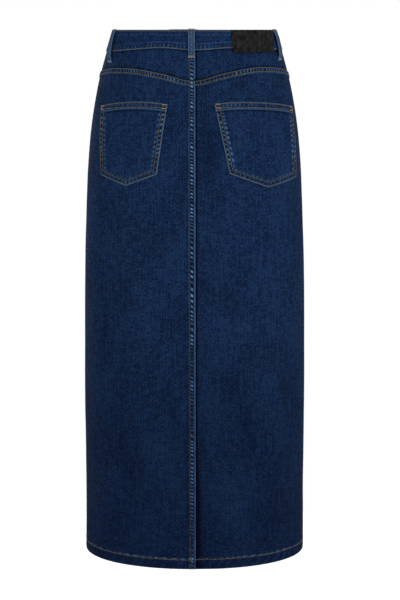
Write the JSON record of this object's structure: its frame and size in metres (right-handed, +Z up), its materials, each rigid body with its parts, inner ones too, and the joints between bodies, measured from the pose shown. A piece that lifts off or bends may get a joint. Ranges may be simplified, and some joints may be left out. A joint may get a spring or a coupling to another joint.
{
  "type": "long straight denim skirt",
  "caption": "Long straight five-pocket style denim skirt, hollow and filled out as worn, with back yoke, patch pockets, belt loops, fly zip and bare leather patch.",
  "frame": {"origin": "centre of the waist opening, level with the waistband's top edge, where the wearer holds the skirt", "axes": "+Z up, out of the waist; the wearer faces -Y, so the back is at +Y; the wearer's left is at +X"},
  "size_m": [0.3725, 0.2871, 0.883],
  "materials": {
    "denim": "dark indigo twill with worn light seams",
    "thread": "tobacco topstitching thread",
    "patch_leather": "bare black leather, matt",
    "zip_tape": "woven navy zip tape",
    "button_metal": "antique copper"
  },
  "bodies": {
    "root": {"back_panel_left": "denim", "back_panel_right": "denim", "back_yoke_left": "denim", "back_yoke_right": "denim", "front_panel_left": "denim", "front_panel_right": "denim", "waistband": "denim", "belt_loop_centre_back": "denim", "belt_loop_back_left": "denim", "belt_loop_back_right": "denim", "belt_loop_front_left": "denim", "belt_loop_front_right": "denim", "back_pocket_left": "denim", "back_pocket_right": "denim", "waist_patch": "patch_leather", "fly_zip": "zip_tape", "waist_button": "button_metal"}
  },
  "joints": []
}
